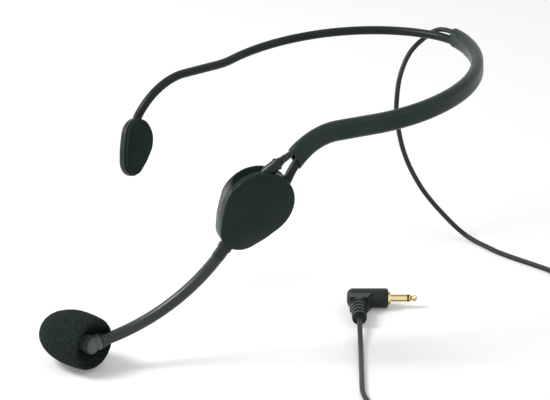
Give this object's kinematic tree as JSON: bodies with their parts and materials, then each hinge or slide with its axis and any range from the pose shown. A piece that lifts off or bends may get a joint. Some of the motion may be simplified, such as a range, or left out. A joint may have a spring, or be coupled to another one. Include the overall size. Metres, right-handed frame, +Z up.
{
  "type": "headset microphone",
  "caption": "Behind-the-neck headset microphone: sprung neckband with temple pads, cable sleeve, side pod, bendable gooseneck boom, foam windscreen and tied lead with angled mini plug.",
  "frame": {"origin": "middle of the head that the band clasps, in the plane of the band, 80 mm in front of the nape", "axes": "+X the way the wearer faces, +Y to the wearer's left, +Z up"},
  "size_m": [0.2967, 0.257, 0.1157],
  "materials": {
    "spring_steel": "drawn, plain",
    "band_rubber": "satin",
    "sleeve_rubber": "satin",
    "cable_pvc": "satin",
    "cover_plastic": "fine satin",
    "shell_plastic": "fine satin",
    "cushion_foam": "matt",
    "screw_steel": "zinc plated",
    "brass": "plain",
    "relief_rubber": "satin",
    "boom_rubber": "satin",
    "holder_plastic": "satin",
    "capsule_can": "plain",
    "board": "matt",
    "windscreen_foam": "open cell foam",
    "plug_plastic": "satin",
    "gold": "plated",
    "link_steel": "plain"
  },
  "bodies": {
    "band": {"band_wire": "spring_steel", "band_skin": "band_rubber", "cable_sleeve": "sleeve_rubber", "cable_in_sleeve": "cable_pvc", "cable_at_pod": "cable_pvc", "pod_cover": "cover_plastic", "pod_base": "shell_plastic", "pod_cushion": "cushion_foam", "pod_screws": "screw_steel", "band_anchor": "brass", "cable_relief": "relief_rubber", "cable_clamp": "screw_steel", "splice_sleeve": "relief_rubber", "temple_shell": "shell_plastic", "temple_cushion": "cushion_foam", "temple_anchor": "brass", "boom_ferrule": "shell_plastic", "boom_clip": "screw_steel", "boom_skin": "boom_rubber", "mic_lead": "cable_pvc", "cable_run": "cable_pvc", "cable_coil": "cable_pvc", "cable_tie": "relief_rubber", "plug_run": "cable_pvc", "plug_body": "plug_plastic", "plug_relief": "relief_rubber", "plug_sleeve_contact": "gold", "plug_ring": "plug_plastic", "plug_tip": "gold"},
    "link_1": {"boom_link_1": "link_steel"},
    "link_2": {"boom_link_2": "link_steel"},
    "link_3": {"boom_link_3": "link_steel"},
    "link_4": {"boom_link_4": "link_steel"},
    "link_5": {"boom_link_5": "link_steel"},
    "link_6": {"boom_link_6": "link_steel"},
    "link_7": {"boom_link_7": "link_steel"},
    "microphone": {"mic_stem": "screw_steel", "mic_elbow": "holder_plastic", "mic_rear_cap": "holder_plastic", "capsule_tube": "holder_plastic", "capsule_boot": "relief_rubber", "mic_capsule": "capsule_can", "capsule_board": "board", "front_grille": "capsule_can"},
    "windscreen": {"foam_windscreen": "windscreen_foam"}
  },
  "joints": [
    {"name": "curl_1", "type": "hinge", "parent": "band", "child": "link_1", "pos_m": [0.10174, 0.03923, -0.05288], "axis": [-0.3023, -0.9303, 0.2079], "range_deg": [-12, 12], "deforming": ["boom_skin", "mic_lead"]},
    {"name": "sweep_1", "type": "hinge", "parent": "link_1", "child": "link_2", "pos_m": [0.10646, 0.03619, -0.05965], "axis": [-0.732, 0.0868, -0.6758], "range_deg": [-10, 10], "deforming": ["boom_skin", "mic_lead"]},
    {"name": "curl_2", "type": "hinge", "parent": "link_2", "child": "link_3", "pos_m": [0.11183, 0.03305, -0.06587], "axis": [-0.3023, -0.9303, 0.2079], "range_deg": [-12, 12], "deforming": ["boom_skin", "mic_lead"]},
    {"name": "sweep_2", "type": "hinge", "parent": "link_3", "child": "link_4", "pos_m": [0.11781, 0.02985, -0.07149], "axis": [-0.5994, 0.0159, -0.8003], "range_deg": [-10, 10], "deforming": ["boom_skin", "mic_lead"]},
    {"name": "curl_3", "type": "hinge", "parent": "link_4", "child": "link_5", "pos_m": [0.12433, 0.02663, -0.07644], "axis": [-0.3023, -0.9303, 0.2079], "range_deg": [-12, 12], "deforming": ["boom_skin", "mic_lead"]},
    {"name": "sweep_3", "type": "hinge", "parent": "link_5", "child": "link_6", "pos_m": [0.13134, 0.0234, -0.08068], "axis": [-0.4441, -0.0556, -0.8943], "range_deg": [-10, 10], "deforming": ["boom_skin", "mic_lead"]},
    {"name": "curl_4", "type": "hinge", "parent": "link_6", "child": "link_7", "pos_m": [0.13876, 0.02021, -0.08416], "axis": [-0.3023, -0.9303, 0.2079], "range_deg": [-12, 12], "deforming": ["boom_skin", "mic_lead"]},
    {"name": "sweep_4", "type": "hinge", "parent": "link_7", "child": "microphone", "pos_m": [0.14653, 0.01709, -0.08687], "axis": [-0.2718, -0.125, -0.9542], "range_deg": [-10, 10], "deforming": ["boom_skin", "mic_lead"]},
    {"name": "foam_slide", "type": "slide", "parent": "microphone", "child": "windscreen", "axis": [0.1691, -0.9856, 0.0093], "range_m": [0, 0.014]}
  ],
  "couplings": [
    {"joint": "curl_2", "follows": "curl_1", "ratio": 1},
    {"joint": "curl_3", "follows": "curl_1", "ratio": 1},
    {"joint": "curl_4", "follows": "curl_1", "ratio": 1},
    {"joint": "sweep_2", "follows": "sweep_1", "ratio": 1},
    {"joint": "sweep_3", "follows": "sweep_1", "ratio": 1},
    {"joint": "sweep_4", "follows": "sweep_1", "ratio": 1}
  ]
}
